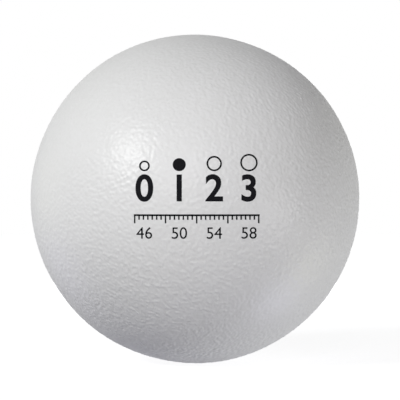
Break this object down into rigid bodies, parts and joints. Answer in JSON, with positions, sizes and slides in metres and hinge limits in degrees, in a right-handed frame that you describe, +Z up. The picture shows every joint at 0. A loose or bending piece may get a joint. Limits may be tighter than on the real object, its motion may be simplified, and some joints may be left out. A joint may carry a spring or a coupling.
{
  "type": "soft handball",
  "caption": "Seamless soft training handball: an open-cell foam core under a bonded, grained elastic skin with a tiny breather vent.",
  "frame": {"origin": "the ball's centre, which is the centre of its bounding box", "axes": "+Z is up as pictured, the printed side faces -Y, and +Y runs from the centre through the breather vent"},
  "size_m": [0.16, 0.16, 0.16],
  "materials": {
    "foam": "matte",
    "bond": "matte",
    "base": "satin",
    "grain": "satin"
  },
  "bodies": {
    "root": {"foam_core": "foam", "bond_coat": "bond", "base_skin": "base", "grain_coat": "grain"}
  },
  "joints": []
}
